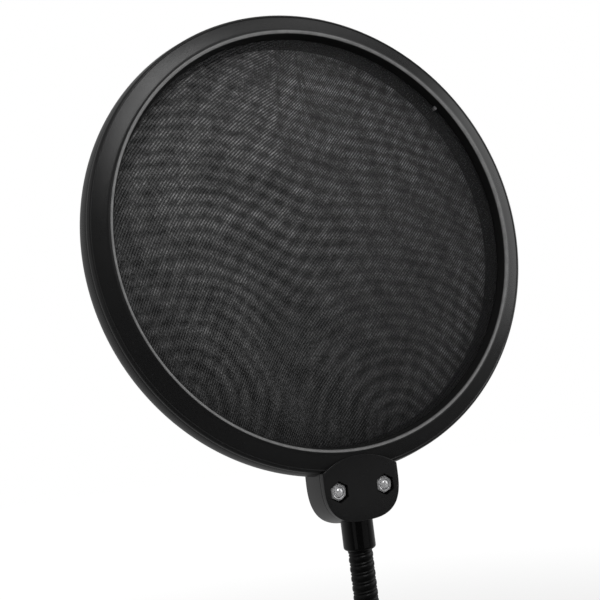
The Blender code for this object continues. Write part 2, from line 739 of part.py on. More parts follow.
def clamp_knob():
    """Hand knob with grip notches round it and a collar above it."""
    count = KNOB_LOBES * 8
    outline = []
    for i in range(count):
        angle = 2 * pi * i / count
        notch = (0.5 - 0.5 * cos(KNOB_LOBES * angle)) ** 2
        reach = KNOB_RADIUS - KNOB_LOBE * notch
        outline.append((reach * cos(angle), reach * sin(angle)))
    wheel_top = KNOB_TOP - 5 * MM
    made = bevel(slab("clamp_knob", outline, wheel_top, KNOB_TOP - KNOB_HEIGHT, BLACK_PLASTIC), 1.5 * MM, 2, 60)
    collar_profile = [
        (0, KNOB_TOP),
        (6.4 * MM, KNOB_TOP),
        (7 * MM, KNOB_TOP - 0.6 * MM),
        (8.5 * MM, wheel_top - 1 * MM),
        (0, wheel_top - 1 * MM),
    ]
    combine(made, turned("knob_collar", collar_profile, None, 32, collection=CUTTERS), "UNION")
    bore_bottom = KNOB_TOP - KNOB_HEIGHT + 5 * MM - GAP
    bore = rod("knob_bore", CLAMP_SCREW_RADIUS + GAP, KNOB_TOP + 5 * MM, bore_bottom, 24, None, CUTTERS)
    combine(made, bore, "DIFFERENCE")
    return made


def build():
    front_hoop()
    rear_hoop()
    front_mesh()
    rear_mesh()
    mesh_spacer()
    for side in (-1, 1):
        lug_screw(side)
        lug_nut(side)
    upper_ferrule()
    for number in range(1, ARM_SECTIONS + 1):
        gooseneck_section(number)
    lower_ferrule()
    clamp_frame()
    ferrule_lock_nut()
    thread_bush()
    jaw_pad_fixed()
    jaw_pad_moving()
    swivel_plate()
    swivel_clip()
    clamp_screw()
    clamp_knob()
    for made in list(PARTS.objects):
        smooth(made.data)


build()
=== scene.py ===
"""The looks of the pop filter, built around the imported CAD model.

Head pieces are modelled in the head's own frame, as in the CAD: X to the right, Y up from
the centre of the hoops and Z out of the front, with Z = 0 at the front lip.
"""

import json
from math import atan2, ceil, cos, degrees, pi, radians, sin, sqrt

import bpy
from mathutils import Matrix, Vector

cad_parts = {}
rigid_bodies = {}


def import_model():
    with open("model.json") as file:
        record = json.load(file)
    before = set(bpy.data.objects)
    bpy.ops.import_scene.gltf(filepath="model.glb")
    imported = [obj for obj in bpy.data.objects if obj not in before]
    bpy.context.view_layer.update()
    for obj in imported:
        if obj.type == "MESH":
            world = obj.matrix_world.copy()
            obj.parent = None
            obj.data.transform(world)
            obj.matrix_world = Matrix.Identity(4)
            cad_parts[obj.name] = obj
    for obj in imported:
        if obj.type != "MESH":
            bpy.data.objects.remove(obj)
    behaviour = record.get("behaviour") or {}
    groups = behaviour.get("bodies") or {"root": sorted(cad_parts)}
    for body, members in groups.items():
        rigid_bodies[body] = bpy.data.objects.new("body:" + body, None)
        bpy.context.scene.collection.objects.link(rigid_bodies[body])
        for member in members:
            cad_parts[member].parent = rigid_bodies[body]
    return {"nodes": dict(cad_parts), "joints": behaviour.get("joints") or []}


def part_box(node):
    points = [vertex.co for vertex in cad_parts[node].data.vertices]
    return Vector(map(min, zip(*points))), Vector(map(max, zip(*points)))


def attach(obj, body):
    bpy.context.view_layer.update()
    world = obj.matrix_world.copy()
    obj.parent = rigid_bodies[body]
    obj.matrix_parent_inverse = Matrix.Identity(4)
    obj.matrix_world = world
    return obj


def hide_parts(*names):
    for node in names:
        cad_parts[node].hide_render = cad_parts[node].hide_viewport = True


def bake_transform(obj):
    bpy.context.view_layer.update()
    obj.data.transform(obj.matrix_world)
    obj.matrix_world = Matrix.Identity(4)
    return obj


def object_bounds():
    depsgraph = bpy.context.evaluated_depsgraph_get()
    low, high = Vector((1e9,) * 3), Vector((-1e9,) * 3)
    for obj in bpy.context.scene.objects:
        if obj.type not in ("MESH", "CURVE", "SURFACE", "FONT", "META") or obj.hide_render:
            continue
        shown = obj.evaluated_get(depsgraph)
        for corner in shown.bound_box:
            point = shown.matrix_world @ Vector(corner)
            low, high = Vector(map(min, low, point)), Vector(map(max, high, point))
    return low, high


MM = 0.001
ON_AXIS = 1e-7  # a smaller radius counts as none
SAME_HEIGHT = 1e-5

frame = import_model()
CAD_BOX = [list(corner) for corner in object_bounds()]


def middle(node):
    low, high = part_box(node)
    return (low + high) / 2


# Places, read from the frame
HEAD_Z = middle("front_mesh").z
LIP_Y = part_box("front_hoop")[0].y
NUT_X = middle("lug_nut_right").x
NUT_HEIGHT = middle("lug_nut_right").z - HEAD_Z
UPPER_FERRULE = [corner.z - HEAD_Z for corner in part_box("upper_ferrule")]
LOWER_FERRULE = [corner.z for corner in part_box("lower_ferrule")]
ARM_BOTTOM = LOWER_FERRULE[1]
ARM_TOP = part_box("upper_ferrule")[0].z
ARM_JOINTS = [j for j in frame["joints"] if j["name"].startswith("arm_bend")]
HEAD_CENTRE = Vector((0, LIP_Y, HEAD_Z))
HEAD_FRAME = Matrix.Translation(HEAD_CENTRE) @ Matrix.Rotation(pi / 2, 4, "X")

# Head. The main sizes are the CAD's unless a comment gives another. Fine detail is added here.
LIP_RADIUS = 70 * MM
WALL_RADIUS = 69.5 * MM
CREASE_RADIUS = 77.4 * MM
WIDEST_RADIUS = 78.6 * MM
HOOP_DEPTH = 15.3 * MM
SEAM_DEPTH = 3.0 * MM
SEAM_GAP = 0.3 * MM
MIDDLE_DEPTH = 7.8 * MM
BEAD_RADIUS = 0.65 * MM
BEAD_EDGE = 70.9 * MM  # the bead's painted highlight ends here
FACE_START = (71.4 * MM, -0.42 * MM)  # the sloping front face, as radius and height
FACE_END = (76.1 * MM, -1.6 * MM)
FACE_CROWN = 0.06 * MM
FACE_STEPS = 8
CORNER_RADIUS = 1.45 * MM
CORNER_RISE = 0.15 * MM
SIDE_START, SIDE_LENGTH = 3.4, 8.4  # the side band's curve, down the depth in mm
SIDE_HALF_LENGTH = 4.45 * MM
SIDE_POWER = 1.8
SIDE_STEPS = 18
BACK_CORNER_CENTRE = (75.5 * MM, -12.1 * MM)
BACK_CORNER_RADIUS = 1.8 * MM
FRONT_SEAT_DEPTH = 4.3 * MM
REAR_SEAT_DEPTH = 12.2 * MM
MESH_RADIUS = 72 * MM
MESH_SLACK = 0.1 * MM  # how deep the stretched cloths dish
HOOP_STEPS = 288

GATE_RADIUS = 0.75 * MM  # the moulding gate's stub on the inner wall, which isn't in the CAD
GATE_PLACE = (50.45 * MM, 47.0 * MM)
GATE_TOP, GATE_BOTTOM = -3.1 * MM, -4.0 * MM

LUG_HALF_WIDTH = 13.15 * MM
LUG_SHOULDER = -79.0 * MM
LUG_BOTTOM = -92.3 * MM
LUG_SQUARENESS = 2.8
LUG_FLARE = 0.5 * MM
LUG_DROOP = 2.1 * MM
LUG_CROWN_RADIUS = 22.5 * MM
LUG_CROWN_STEPS = 32
LUG_CROWN_HEIGHT = -72.1 * MM
LUG_TOP_RADIUS = 76.6 * MM
LUG_TOP_STEPS = 16
LUG_PLATE_DEPTH = 0.4 * MM
LUG_EDGE_ROUNDING = 0.16 * MM  # 1.0 in the CAD
LUG_BACK_DEPTH = 14.9 * MM
LUG_BACK_ROUNDING = 1.5 * MM
LUG_STEPS = 28

NUT_FLATS = 4.9 * MM  # 5.1 in the CAD
NUT_THICKNESS = 2.4 * MM
NUT_DEPTH = 1.0 * MM
NUT_CHAMFER = 0.7 * MM  # 0.41 in the CAD
NUT_FACE_SHARE = 0.84  # the flat face's radius, as a share of half the flats, 0.97 in the CAD
NUT_BORE_GAP = 0.12 * MM  # 0.3 in the CAD
NUT_TURN = {"left": 3, "right": -4}  # degrees
POCKET_FLATS = 5.9 * MM
POCKET_FLOOR_DEPTH = 3.6 * MM
NUT_BOSS_RADIUS = 4.1 * MM
NUT_BOSS_TOP_DEPTH = 2.2 * MM
NUT_BOSS_DEPTH = 5.0 * MM
ROOM = 0.3 * MM  # left between neighbouring pieces
SCREW_RADIUS = 1.6 * MM
SCREW_HOLE_RADIUS = SCREW_RADIUS + 0.2 * MM
SCREW_PITCH = 0.5 * MM
SCREW_THREAD_DEPTH = 0.1 * MM
SCREW_DOME = 1.0 * MM
SCREW_END_DEPTH = 0.4 * MM
SCREW_SEAT_DEPTH = 12.6 * MM
SCREW_RECESS_RADIUS = 3.2 * MM
PAST_FRONT_BOSS, PAST_BACK = -7 * MM, -16 * MM  # where the screw holes' cutters end

# Arm. It is smooth in the CAD.
ARM_RADIUS = 4.0 * MM
ARM_STUB = 9 * MM  # inside each ferrule
ARM_SIDES = 36
RIB_PITCH = 2.9 * MM
RIB_HEIGHT = 0.36 * MM
RIB_STEPS = 22
ROUND_WIRE = 0.64  # its share of the pitch
TRIANGLE_HEIGHT = 0.8  # of the round wire's
FERRULE_RADIUS = 5.2 * MM
FERRULE_BORE = ARM_RADIUS + 0.05 * MM  # ARM_RADIUS + 0.3 in the CAD
FERRULE_RIM = 0.9 * MM
FERRULE_SHOULDER = 0.5 * MM
FERRULE_SPIGOT = 2.9 * MM

# Weave and moire, in millimetres and degrees from the cloth's centre
THREAD_ANGLE = -45
THREAD_PITCH = 0.86
CROSS_PITCH = 0.9
REAR_LEAN = 4  # the rear weave's turn from the front one
PULLED_FROM = -10.0  # left of this x, the weave is pulled out of square
LEFT_PULL = -0.0017  # by the square of the way left
FAN_PULL = -0.005  # by the way left times the way up
TOP_PULL = -0.0015  # by the square of the way up
TOP_LIMIT = -2.5  # how fast that last one ends to the right of the centre
TIGHT_PLACES = ((-52, -52), (22, -68))
TIGHT_BLEND = 28
BAND_PITCH = 4.2
SPOT_PITCH = 5.2
SPOT_ANGLE = 150

# Where the cloths' look changes, mostly their painted light: an angle, then the distances along it
# where that starts and ends
UPPER_LEFT = (115, -60, 60)
NEAR_LEFT = (155, 10, 60)
LOWER_RIGHT = (-32, 46, 62)
FAR_LEFT = (196, 50, 60)


# Meshes


def arc(centre, radius, start, end, count):
    """Points on a circle, from one angle in degrees to another."""
    angles = [radians(start + (end - start) * i / (count - 1)) for i in range(count)]
    return [(centre[0] + radius * cos(a), centre[1] + radius * sin(a)) for a in angles]


def add_mesh(name, points, faces, sharp=35):
    mesh = bpy.data.meshes.new(name)
    mesh.from_pydata([tuple(p) for p in points], [], faces)
    mesh.validate()
    made = bpy.data.objects.new(name, mesh)
    bpy.context.scene.collection.objects.link(made)
    shade(made, sharp)
    return made


def shade(made, sharp=35):
    made.data.shade_smooth()
    made.data.set_sharp_from_angle(angle=radians(sharp))
    return made


def turned(name, profile, steps, closed=False):
    """A profile of (radius, height) turned about Z. It runs down its outer side."""
    points, faces, rings = [], [], []
    for radius, height in profile:
        if radius < ON_AXIS:
            rings.append([len(points)] * steps)
            points.append((0, 0, height))
            continue
        rings.append(list(range(len(points), len(points) + steps)))
        for i in range(steps):
            angle = 2 * pi * i / steps
            points.append((radius * cos(angle), radius * sin(angle), height))
    pairs = list(zip(rings, rings[1:]))
    if closed:
        pairs.append((rings[-1], rings[0]))
    for upper, lower in pairs:
        for i in range(steps):
            j = (i + 1) % steps
            loop = [upper[j], upper[i], lower[i], lower[j]]
            faces.append([v for k, v in enumerate(loop) if v != loop[k - 1]])
    return add_mesh(name, points, faces)


def prism(name, outline, top, bottom):
    """A flat outline in XY, given anticlockwise, extruded between two heights."""
    count = len(outline)
    points = [(x, y, top) for x, y in outline] + [(x, y, bottom) for x, y in outline]
    sides = [[i, count + i, count + (i + 1) % count, (i + 1) % count] for i in range(count)]
    caps = [list(range(count)), list(range(2 * count - 1, count - 1, -1))]
    return add_mesh(name, points, sides + caps)


def rod(name, radius, top, bottom, sides, centre=(0, 0), turn=0):
    outline = arc(centre, radius, turn, 360 + turn, sides + 1)[:-1]
    return prism(name, outline, top, bottom)


def block(name, low, high):
    outline = [(low[0], low[1]), (high[0], low[1]), (high[0], high[1]), (low[0], high[1])]
    return prism(name, outline, high[2], low[2])


def apply_modifiers(made, sharp=35):
    mesh = bpy.data.meshes.new_from_object(
        made.evaluated_get(bpy.context.evaluated_depsgraph_get())
    )
    made.modifiers.clear()
    made.data = mesh
    return shade(made, sharp)


def bevel(made, width, segments=3, angle=40, height=None, sharp=35):
    """Rounds a mesh's sharp edges, or only those that lie at one height."""
    modifier = made.modifiers.new("bevel", "BEVEL")
    modifier.width = width
    modifier.segments = segments
    if height is None:
        modifier.limit_method = "ANGLE"
        modifier.angle_limit = radians(angle)
    else:
        mesh = made.data
        weights = mesh.attributes.new("bevel_weight_edge", "FLOAT", "EDGE")
        for edge in mesh.edges:
            ends = [mesh.vertices[v].co.z for v in edge.vertices]
            level = all(abs(z - height) < SAME_HEIGHT for z in ends)
            weights.data[edge.index].value = float(level)
        modifier.limit_method = "WEIGHT"
    return apply_modifiers(made, sharp)


def combine(made, tools, operation, sharp=35):
    """Joins other shapes to this one, or cuts them from it, and removes them."""
    for tool in tools:
        modifier = made.modifiers.new("combine", "BOOLEAN")
        modifier.operation = operation
        modifier.solver = "EXACT"
        modifier.object = tool
    apply_modifiers(made, sharp)
    for tool in tools:
        bpy.data.objects.remove(tool)
    return made


def on_head(made):
    """Moves a shape from the head's own frame to its place: its Z becomes the front, -Y."""
    made.data.transform(HEAD_FRAME)
    return made


def lift(made, height):
    made.data.transform(Matrix.Translation((0, 0, height)))
    return made


def finish_piece(made, material, body, *nodes, slot):
    """Gives a piece its material, its body and the CAD nodes that it stands for."""
    made.data.materials.clear()
    made.data.materials.append(material)
    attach(made, body)
    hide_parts(*nodes)
    return made


# Materials


class Look:
    """A Principled material with short calls for its nodes."""

    def __init__(self, name, colour, roughness, metallic=0.0, **extra):
        self.material = bpy.data.materials.new(name)
        self.material.use_nodes = True
        self.tree = self.material.node_tree
        self.shader = self.tree.nodes["Principled BSDF"]
        self.set("Base Color", (*colour, 1))
        self.set("Roughness", roughness)
        self.set("Metallic", metallic)
        for key, value in extra.items():
            self.set(key.replace("_", " "), value)

    def set(self, key, value):
        self.shader.inputs[key].default_value = value

    def link(self, source, key):
        self.tree.links.new(source, self.shader.inputs[key])

    def node(self, kind, inputs=(), **settings):
        made = self.tree.nodes.new(kind)
        for key, value in settings.items():
            setattr(made, key, value)
        for key, value in dict(inputs).items():
            if isinstance(value, bpy.types.NodeSocket):
                self.tree.links.new(value, made.inputs[key])
            else:
                made.inputs[key].default_value = value
        return made

    def place(self):
        """Where a point is on its piece, in metres."""
        return self.node("ShaderNodeTexCoord").outputs["Object"]

    def maths(self, operation, a, b=0.0, c=0.0):
        return self.node("ShaderNodeMath", {0: a, 1: b, 2: c}, operation=operation).outputs[0]

    def mix(self, factor, a, b):
        return self.node("ShaderNodeMix", {0: factor, 2: a, 3: b}).outputs[0]

    def mix_colour(self, factor, a, b):
        made = self.node("ShaderNodeMix", {0: factor, 6: a, 7: b}, data_type="RGBA")
        return made.outputs[2]

    def product(self, first, *others):
        for other in others:
            first = self.maths("MULTIPLY", first, other)
        return first

    def distance(self, a, b):
        """How long a step is, from its two parts at right angles."""
        square = self.maths("MULTIPLY_ADD", a, a, self.maths("MULTIPLY", b, b))
        return self.maths("SQRT", square)

    def grey(self, value):
        return self.node("ShaderNodeCombineColor", {i: value for i in range(3)}).outputs[0]

    def noise(self, scale, detail=2.0, roughness=0.5):
        inputs = {"Vector": self.place(), "Scale": scale, "Detail": detail, "Roughness": roughness}
        return self.node("ShaderNodeTexNoise", inputs).outputs["Fac"]

    def seeded_noise(self, seed, scale, detail=1.0):
        inputs = {"Vector": self.place(), "Scale": scale, "Detail": detail, "W": seed}
        return self.node("ShaderNodeTexNoise", inputs, noise_dimensions="4D").outputs["Fac"]

    def between(self, value, low, high, to_low=0.0, to_high=1.0):
        inputs = {0: value, 1: low, 2: high, 3: to_low, 4: to_high}
        return self.node("ShaderNodeMapRange", inputs).outputs[0]

    def bump(self, height, strength, distance):
        inputs = {"Height": height, "Strength": strength, "Distance": distance}
        self.link(self.node("ShaderNodeBump", inputs).outputs["Normal"], "Normal")


def shade_of(value):
    """A grey with a trace of blue."""
    return (value, value, value * 1.03, 1)


def plastic_surface(look, value, roughness):
    """Gives moulded plastic its spark texture. Returns its colour and roughness, with flow marks."""
    grain = look.noise(5200, detail=2, roughness=0.6)
    flow = look.noise(38, detail=3, roughness=0.55)
    colour = look.mix_colour(flow, shade_of(value * 0.8), shade_of(value * 1.25))
    rough = look.maths("ADD", look.between(flow, 0.3, 0.7, -0.035, 0.035), roughness)
    rough = look.maths("ADD", rough, look.between(grain, 0.35, 0.65, -0.03, 0.03))
    look.bump(grain, strength=0.25, distance=0.04 * MM)
    return colour, rough


def moulded_plastic(name, value, roughness):
    """Black injection-moulded plastic: fine spark texture and slow flow marks."""
    look = Look(name, (value,) * 3, roughness, Specular_IOR_Level=0.5)
    colour, rough = plastic_surface(look, value, roughness)
    look.link(colour, "Base Color")
    look.link(rough, "Roughness")
    return look.material


# Where the hoops' plastic changes, with its painted highlight and painted shade. Each pair is where
# the change starts and where it is complete.
BEAD_HIGHLIGHT_FADE = (0.0, 0.25 * MM)  # inwards from the bead's edge
LIP_FADE = (0.8 * MM, 0.6 * MM)  # from either lip
WALL_SHADE_FADE = (0.45 * MM, 0.3 * MM)  # outwards from the inner wall
SCAR_FADE = (0.25 * MM, 0.1 * MM)  # outwards from the gate's stub
SCAR_DEPTH_FADE = (4.2 * MM, 4.1 * MM)  # behind the front lip
SCAR_WALL_FADE = (0.1 * MM, 0.2 * MM)  # inwards from the inner wall
DUST_VALUE = 0.06
WALL_SHADE_VALUE = 0.0015
WALL_ROUGHNESS = 0.8
SCAR_VALUE = 0.2


def gate_scar(look, x, y, up, radius):
    """The gate's stub, pale where it was cut. The painted shade on the wall behind it stays."""
    across, rise = [look.maths("SUBTRACT", a, b) for a, b in zip((x, up), GATE_PLACE)]
    near = look.between(look.distance(across, rise), *[GATE_RADIUS + fade for fade in SCAR_FADE])
    front = look.between(y, *[LIP_Y + fade for fade in SCAR_DEPTH_FADE])
    uneven = look.between(look.noise(1600, detail=2, roughness=0.5), 0.35, 0.6, 0.3, 1.0)
    clear = look.between(radius, *[WALL_RADIUS - fade for fade in SCAR_WALL_FADE])
    return look.product(near, front, uneven, clear)


def hoop_plastic(name, value, roughness, bead_highlight_value):
    """The hoops' plastic, with a painted highlight along the bead at each lip and painted shade on
    the inner walls.
    """
    look = Look(name, (value,) * 3, roughness, Specular_IOR_Level=0.5)
    dark, rough = plastic_surface(look, value, roughness)
    split = look.node("ShaderNodeSeparateXYZ", {0: look.place()})
    x, y = split.outputs["X"], split.outputs["Y"]
    up = look.maths("SUBTRACT", split.outputs["Z"], HEAD_Z)
    radius = look.distance(up, x)
    from_middle = look.maths("ABSOLUTE", look.maths("SUBTRACT", y, LIP_Y + HOOP_DEPTH / 2))
    near_lip = look.between(from_middle, *[HOOP_DEPTH / 2 - fade for fade in LIP_FADE])

    dust = look.between(look.noise(1500, detail=1, roughness=0.3), 0.74, 0.8, 0, 0.3)
    dark = look.mix_colour(dust, dark, shade_of(DUST_VALUE))
    # Painted shade: the inner wall, a recess between the lips, is made near black.
    wall = look.between(radius, *[WALL_RADIUS + fade for fade in WALL_SHADE_FADE])
    wall = look.product(wall, look.maths("SUBTRACT", 1.0, near_lip))
    dark = look.mix_colour(wall, dark, shade_of(WALL_SHADE_VALUE))
    dark = look.mix_colour(gate_scar(look, x, y, up, radius), dark, shade_of(SCAR_VALUE))

    # Painted highlight: the bead at each lip is made pale, in place of its glint.
    bead_highlight = look.product(look.between(radius, *[BEAD_EDGE - fade for fade in BEAD_HIGHLIGHT_FADE]), near_lip)
    bead_highlight_unevenness = look.between(look.noise(260, detail=3, roughness=0.6), 0.3, 0.7, 0.8, 1.15)
    pale = look.grey(look.product(bead_highlight_unevenness, bead_highlight_value))
    look.link(look.mix_colour(bead_highlight, dark, pale), "Base Color")
    look.link(look.mix(wall, rough, WALL_ROUGHNESS), "Roughness")
    return look.material


def coated_metal(name, value, roughness, gloss=0.55):
    """Satin black coating with a slight orange peel."""
    look = Look(name, (value,) * 3, roughness, Specular_IOR_Level=gloss)
    cloud = look.noise(90, detail=3, roughness=0.6)
    look.link(look.mix_colour(cloud, shade_of(value * 0.75), shade_of(value * 1.3)), "Base Color")
    look.link(look.between(cloud, 0.3, 0.7, roughness - 0.05, roughness + 0.06), "Roughness")
    look.bump(look.noise(1400, detail=2, roughness=0.5), strength=0.2, distance=0.08 * MM)
    return look.material


def zinc_plate():
    """Bright zinc-plated steel with a very fine grain and slightly duller spots."""
    look = Look("zinc_plate", (0.86, 0.86, 0.88), 0.24, 0.6)
    spots = look.noise(520, detail=2, roughness=0.5)
    bright, dull = (0.95, 0.95, 0.96, 1), (0.84, 0.84, 0.85, 1)
    look.link(look.mix_colour(look.between(spots, 0.35, 0.75), bright, dull), "Base Color")
    look.link(look.between(spots, 0.3, 0.75, 0.2, 0.28), "Roughness")
    look.bump(look.noise(4200, detail=2, roughness=0.5), strength=0.03, distance=0.01 * MM)
    return look.material


def brass():
    """Turned brass with darker, duller tarnish."""
    look = Look("turned_brass", (0.72, 0.5, 0.22), 0.3, 1.0)
    tarnish = look.noise(420, detail=4, roughness=0.6)
    bright, dull = (0.78, 0.56, 0.26, 1), (0.45, 0.3, 0.14, 1)
    look.link(look.mix_colour(look.between(tarnish, 0.35, 0.75), bright, dull), "Base Color")
    look.link(look.between(tarnish, 0.3, 0.7, 0.22, 0.42), "Roughness")
    return look.material


def rubber():
    """Matt black rubber with a little dust."""
    look = Look("matt_rubber", (0.018,) * 3, 0.8, Specular_IOR_Level=0.35)
    dust = look.between(look.noise(700, detail=4, roughness=0.7), 0.4, 0.8)
    look.link(look.mix_colour(dust, shade_of(0.014), shade_of(0.035)), "Base Color")
    look.bump(look.noise(3000, detail=2, roughness=0.6), strength=0.4, distance=0.05 * MM)
    return look.material


def plane_place(look):
    """Where a point is on the cloth, in millimetres: x to the right and z up from its centre."""
    split = look.node("ShaderNodeSeparateXYZ", {0: look.place()})
    x = look.maths("MULTIPLY", split.outputs["X"], 1 / MM)
    z = look.maths("MULTIPLY", split.outputs["Z"], 1 / MM)
    return x, z


def pull(look, seed, scale, reach):
    """How far the cloth is pulled out of true here, up to about reach millimetres either way."""
    return look.product(look.maths("SUBTRACT", look.seeded_noise(seed, scale), 0.5), 4 * reach)


def patches(look, seed, scale, low, high, detail=1.0):
    """Uneven patches over the cloth, from low to high."""
    return look.between(look.seeded_noise(seed, scale, detail), 0.35, 0.65, low, high)


def reach_from(look, x, z, centre):
    """The distance from a point of the cloth, in millimetres."""
    return look.distance(look.maths("SUBTRACT", x, centre[0]), look.maths("SUBTRACT", z, centre[1]))


def wave(look, distance, pitch):
    """0 to 1 across lines at that pitch, for a distance in millimetres."""
    return look.between(look.maths("SINE", look.maths("MULTIPLY", distance, 2 * pi / pitch)), -1, 1)


def along(look, x, z, angle):
    """The distance of a point in the direction of that angle in degrees."""
    turned_x = look.maths("MULTIPLY", x, cos(radians(angle)))
    return look.maths("MULTIPLY_ADD", z, sin(radians(angle)), turned_x)


def towards(look, x, z, side, to_low=0.0, to_high=1.0):
    """A value that changes from to_low to to_high towards one side of the cloth."""
    angle, start, end = side
    return look.between(along(look, x, z, angle), start, end, to_low, to_high)


def threads(look, x, z, lean, seed):
    """The weave's two sets of threads, each 0 to 1.

    The cloth is pulled out of square towards its left edge and in its upper left half.
    """
    left = look.maths("MINIMUM", look.maths("SUBTRACT", x, PULLED_FROM), 0.0)
    high = look.maths("MULTIPLY_ADD", look.maths("MAXIMUM", x, 0.0), TOP_LIMIT, z)
    high = look.maths("MAXIMUM", high, 0.0)
    slope = look.maths("MULTIPLY_ADD", left, LEFT_PULL, look.maths("MULTIPLY", z, FAN_PULL))
    stretch = look.maths("MULTIPLY", left, slope)
    stretch = look.maths("MULTIPLY_ADD", look.maths("MULTIPLY", high, high), TOP_PULL, stretch)
    skew = look.maths("ADD", stretch, pull(look, seed, scale=11.0, reach=1.5))
    fine = look.maths("ADD", along(look, x, z, THREAD_ANGLE + lean), skew)
    across = along(look, x, z, THREAD_ANGLE + 90 + lean)
    cross = look.maths("ADD", across, pull(look, seed + 3, scale=9.0, reach=1.5))
    return wave(look, fine, THREAD_PITCH), wave(look, cross, CROSS_PITCH)


def weave(look, fine, cross, cross_share):
    """Both sets of threads together, 0 to 1."""
    return look.maths("MULTIPLY_ADD", cross, cross_share, look.product(fine, 1 - cross_share))


def moire(look, x, z):
    """The slow bands and spots that two stretched weaves make together, each 0 to 1.

    The bands ring the two places where the cloth is pulled tightest, low on the hoop.
    """
    left, right = [reach_from(look, x, z, place) for place in TIGHT_PLACES]
    coarse = pull(look, 11.0, scale=16.0, reach=3.0)
    ragged = look.maths("ADD", coarse, pull(look, 12.0, scale=60.0, reach=0.9))
    level = look.maths("ADD", look.maths("SMOOTH_MIN", left, right, TIGHT_BLEND), ragged)
    slant = look.maths("ADD", along(look, x, z, SPOT_ANGLE), pull(look, 5.0, scale=17.0, reach=6.0))
    return wave(look, level, BAND_PITCH), wave(look, slant, SPOT_PITCH)


def front_nylon():
    """Sheer black nylon. Light passes between its threads."""
    look = Look("front_nylon", (0.02,) * 3, 0.6, Specular_IOR_Level=0.3)
    x, z = plane_place(look)
    fine, cross = threads(look, x, z, lean=0, seed=1.0)
    flecks = patches(look, 21.0, scale=1500, low=0.45, high=1.4)
    # Painted sheen: the cloth is made lighter towards the upper left, where the light falls.
    painted_sheen = towards(look, x, z, UPPER_LEFT, to_low=0.8, to_high=1.15)
    cloth = look.product(weave(look, fine, cross, cross_share=0.22), flecks, painted_sheen)
    look.link(look.mix_colour(cloth, shade_of(0.004), shade_of(0.062)), "Base Color")
    look.link(look.between(cloth, 0.15, 0.85, 0.08, 0.8), "Alpha")
    look.bump(cloth, strength=0.4, distance=0.1 * MM)
    return look.material


def rear_nylon():
    """The second nylon, whose weave shows through the first one as a moire."""
    look = Look("rear_nylon", (0.1,) * 3, 0.65, Specular_IOR_Level=0.2)
    x, z = plane_place(look)
    fine, cross = threads(look, x, z, lean=REAR_LEAN, seed=2.0)

    bands, spots = [look.between(each, 0, 1, -0.5, 0.5) for each in moire(look, x, z)]
    slow = look.product(bands, patches(look, 31.0, scale=26, low=0.45, high=1.1))
    spot_strength = patches(look, 32.0, scale=30, low=0.1, high=0.65)
    slow = look.maths("MULTIPLY_ADD", spots, spot_strength, slow)
    slow = look.maths("ADD", slow, patches(look, 33.0, scale=200, low=-0.22, high=0.24, detail=2.0))
    blotches = patches(look, 35.0, scale=330, low=-0.15, high=0.6)
    slow = look.maths("ADD", slow, look.product(blotches, towards(look, x, z, NEAR_LEFT)))

    # Painted light: the cloth is made lighter towards the upper left and lower right, and darker at
    # the far left.
    rise = look.maths("POWER", towards(look, x, z, UPPER_LEFT), 1.35)
    glow = look.product(
        look.maths("MULTIPLY_ADD", rise, 1.25, 0.42),
        towards(look, x, z, LOWER_RIGHT, to_low=1, to_high=1.7),
        towards(look, x, z, FAR_LEFT, to_low=1, to_high=0.74),
    )
    cloth = weave(look, fine, cross, cross_share=0.25)
    tone = look.product(
        look.between(slow, -0.7, 0.9, 0.35, 1.9),
        glow,
        patches(look, 34.0, scale=1400, low=0.5, high=1.5),
        look.between(cloth, 0.1, 0.9, 0.15, 1.85),
    )
    look.link(look.grey(look.product(tone, 0.108)), "Base Color")
    look.bump(cloth, strength=0.4, distance=0.1 * MM)
    return look.material


PLASTIC = moulded_plastic("satin_black_plastic", value=0.010, roughness=0.3)
# The bead's pale grey is a painted highlight.
HOOP_PLASTIC = hoop_plastic("hoop_plastic", value=0.009, roughness=0.3, bead_highlight_value=0.24)
KNOB_PLASTIC = moulded_plastic("knob_plastic", value=0.013, roughness=0.45)
COATING = coated_metal("black_coating", value=0.001, roughness=0.16, gloss=0.48)
ARM_COATING = coated_metal("arm_coating", value=0.0015, roughness=0.4, gloss=0.25)
FRAME_COATING = coated_metal("frame_coating", value=0.013, roughness=0.42)
ZINC = zinc_plate()
BRASS = brass()
RUBBER = rubber()
FRONT_NYLON = front_nylon()
REAR_NYLON = rear_nylon()


# Head


def front_hoop_profile():
    bead_centre = (LIP_RADIUS + BEAD_RADIUS, -BEAD_RADIUS)
    corner_centre = (CREASE_RADIUS - CORNER_RADIUS, -SEAM_DEPTH + CORNER_RISE)
    bead = arc(bead_centre, BEAD_RADIUS, 180, 36, 12)
    face = []
    for i in range(FACE_STEPS + 1):
        t = i / FACE_STEPS
        radius = FACE_START[0] + (FACE_END[0] - FACE_START[0]) * t
        slope = FACE_START[1] + (FACE_END[1] - FACE_START[1]) * t
        face.append((radius, slope + FACE_CROWN * sin(pi * t)))
    corner = arc(corner_centre, CORNER_RADIUS, 76, 0, 10)
    spigot = [
        (CREASE_RADIUS - 0.08 * MM, -SEAM_DEPTH),
        (75.7 * MM, -SEAM_DEPTH),
        (75.7 * MM, -5.0 * MM),
        (74.6 * MM, -5.0 * MM),
        (74.4 * MM, -2.7 * MM),
        (72.0 * MM, -2.0 * MM),
        (71.1 * MM, -2.2 * MM),
        (71.1 * MM, -FRONT_SEAT_DEPTH),
        (WALL_RADIUS, -FRONT_SEAT_DEPTH),
        (WALL_RADIUS + 0.15 * MM, -1.3 * MM),
    ]
    return bead + face + corner + spigot


